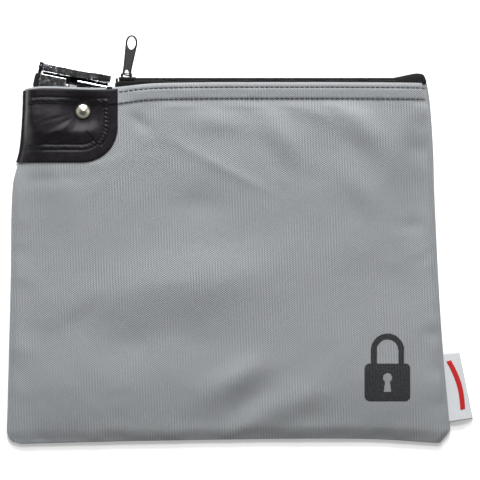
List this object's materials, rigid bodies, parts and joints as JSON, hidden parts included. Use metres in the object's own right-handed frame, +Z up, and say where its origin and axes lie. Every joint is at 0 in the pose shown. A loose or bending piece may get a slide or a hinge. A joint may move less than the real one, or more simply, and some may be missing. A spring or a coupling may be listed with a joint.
{
  "type": "cash deposit bag",
  "caption": "Flat zipped canvas cash bag with vinyl corner patches, a riveted chrome pop-up key lock in the mouth, and a long zipper pull whose eye the lock's lid captures",
  "frame": {"origin": "Middle of the outline of the whole bag, on the surface that it lies on, back panel down", "axes": "+X along the mouth from the lock to the zipper's far end, +Y out of the mouth, +Z up out of the front panel"},
  "size_m": [0.297, 0.2604, 0.0172],
  "materials": {
    "canvas": "mid-grey plain-weave coated nylon canvas",
    "vinyl": "black grained vinyl, semi-gloss",
    "binding": "black woven binding tape",
    "label": "white woven satin label",
    "zipper_tape": "black herringbone zipper tape",
    "zipper_coil": "black nylon coil",
    "stop_metal": "darkened steel",
    "slider_enamel": "black enamelled zinc, semi-gloss",
    "nickel": "polished nickel plate",
    "chrome": "bright chrome plate",
    "lock_black": "black moulded nylon, gloss",
    "brass": "turned brass",
    "steel": "dark hardened steel"
  },
  "bodies": {
    "bag": {"front_panel": "canvas", "back_panel": "canvas", "front_corner_patch": "vinyl", "back_corner_patch": "vinyl", "left_seam_tape": "binding", "right_seam_tape": "binding", "bottom_seam_tape": "binding", "side_tag": "label", "front_zipper_tape": "zipper_tape", "back_zipper_tape": "zipper_tape", "front_zipper_chain": "zipper_coil", "back_zipper_chain": "zipper_coil", "front_top_stop": "stop_metal", "back_top_stop": "stop_metal", "bottom_stop": "stop_metal", "zipper_end_tab": "zipper_tape", "rivet_cap": "nickel", "rivet_post": "nickel", "lock_base": "chrome", "lock_case": "chrome", "lock_end_block": "lock_black", "lid_hinge_pin": "steel", "lid_spring": "steel"},
    "slider": {"slider_body": "slider_enamel"},
    "pull": {"pull_tab": "slider_enamel"},
    "lid": {"lock_lid": "chrome", "lid_knuckle": "lock_black", "lid_catch": "steel", "lid_eye_pin": "steel", "knuckle_rivet_1": "chrome", "knuckle_rivet_2": "chrome"},
    "plug": {"key_plug": "brass", "lock_cam": "steel"}
  },
  "joints": [
    {"name": "zipper_slide", "type": "slide", "parent": "bag", "child": "slider", "axis": [1, 0, 0], "range_m": [0, 0.158]},
    {"name": "pull_swing", "type": "hinge", "parent": "slider", "child": "pull", "pos_m": [-0.07222, 0.10481, 0.0084], "axis": [0.67, -0.2, 0.7149], "range_deg": [-30, 45]},
    {"name": "lid_hinge", "type": "hinge", "parent": "bag", "child": "lid", "pos_m": [-0.12651, 0.11008, 0.0085], "axis": [0, 0, 1], "range_deg": [0, 75], "deforming": ["lid_spring"]},
    {"name": "key_turn", "type": "hinge", "parent": "bag", "child": "plug", "pos_m": [-0.1309, 0.10158, 0.00915], "axis": [0.9799, -0.1994, 0], "range_deg": [0, 90]}
  ]
}
